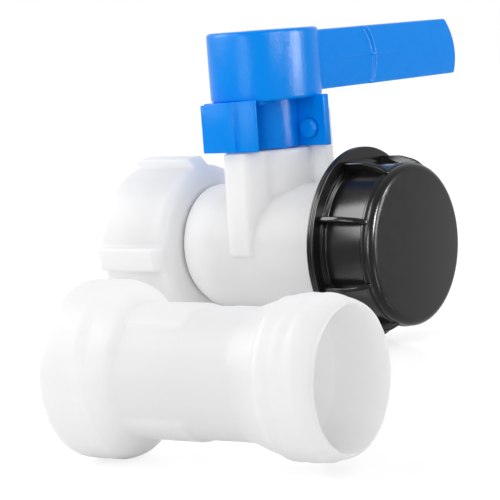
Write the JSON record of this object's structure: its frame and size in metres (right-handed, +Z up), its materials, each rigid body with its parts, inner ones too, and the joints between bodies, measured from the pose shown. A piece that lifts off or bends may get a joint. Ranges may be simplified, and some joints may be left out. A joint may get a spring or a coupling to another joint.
{
  "type": "water tank tap",
  "caption": "Plastic ball valve tap for a water tank, with a union nut at the inlet, a lever with a push lock, a screwed dust cap on the outlet, and a loose coupling pipe beside it.",
  "frame": {"origin": "centre of the union nut's threaded mouth, on the flow line", "axes": "+X along the flow from the tank to the outlet, +Z up along the stem, +Y the way the lever points when the valve is closed; the mate leaves the nut along -X"},
  "size_m": [0.2509, 0.3875, 0.1334],
  "materials": {
    "white_plastic": "milky satin moulded plastic",
    "pipe_plastic": "milky satin moulded plastic",
    "blue_plastic": "satin with a fine grain",
    "black_plastic": "satin",
    "seat_plastic": "waxy",
    "seal_rubber": "matt",
    "screw_steel": "plain steel"
  },
  "bodies": {
    "tap_body": {"valve_body": "white_plastic", "inlet_seat": "seat_plastic", "outlet_seat": "seat_plastic", "inlet_seat_oring": "seal_rubber", "outlet_seat_oring": "seal_rubber", "seat_retainer": "white_plastic", "stem_bush": "seat_plastic", "nut_retaining_ring": "seat_plastic", "tank_gasket": "seal_rubber", "coupling_pipe": "pipe_plastic"},
    "lever_and_ball": {"handle": "blue_plastic", "stem": "white_plastic", "stem_oring_lower": "seal_rubber", "stem_oring_upper": "seal_rubber", "stem_washer": "seat_plastic", "handle_screw": "screw_steel", "handle_washer": "screw_steel", "screw_cover": "blue_plastic", "ball": "white_plastic"},
    "lock": {"lock_pin": "blue_plastic"},
    "nut": {"union_nut": "white_plastic"},
    "cap_seal": {"cap_gasket": "seal_rubber"},
    "cap": {"dust_cap": "black_plastic"}
  },
  "joints": [
    {"name": "handle_turn", "type": "hinge", "parent": "tap_body", "child": "lever_and_ball", "pos_m": [0.071, 0, 0.078], "axis": [0, 0, 1], "range_deg": [-90, 0]},
    {"name": "lock_push", "type": "slide", "parent": "lever_and_ball", "child": "lock", "axis": [0, 1, 0], "range_m": [0, 0.0025]},
    {"name": "nut_turn", "type": "hinge", "parent": "tap_body", "child": "nut", "pos_m": [0.0165, 0, 0], "axis": [1, 0, 0], "continuous": true},
    {"name": "cap_travel", "type": "slide", "parent": "tap_body", "child": "cap_seal", "axis": [1, 0, 0], "range_m": [0, 0.021]},
    {"name": "cap_unscrew", "type": "hinge", "parent": "cap_seal", "child": "cap", "pos_m": [0.13, 0, 0], "axis": [1, 0, 0], "range_deg": [0, 1260]}
  ],
  "couplings": [
    {"joint": "cap_travel", "follows": "cap_unscrew", "m_per_rad": 0.0009549}
  ]
}
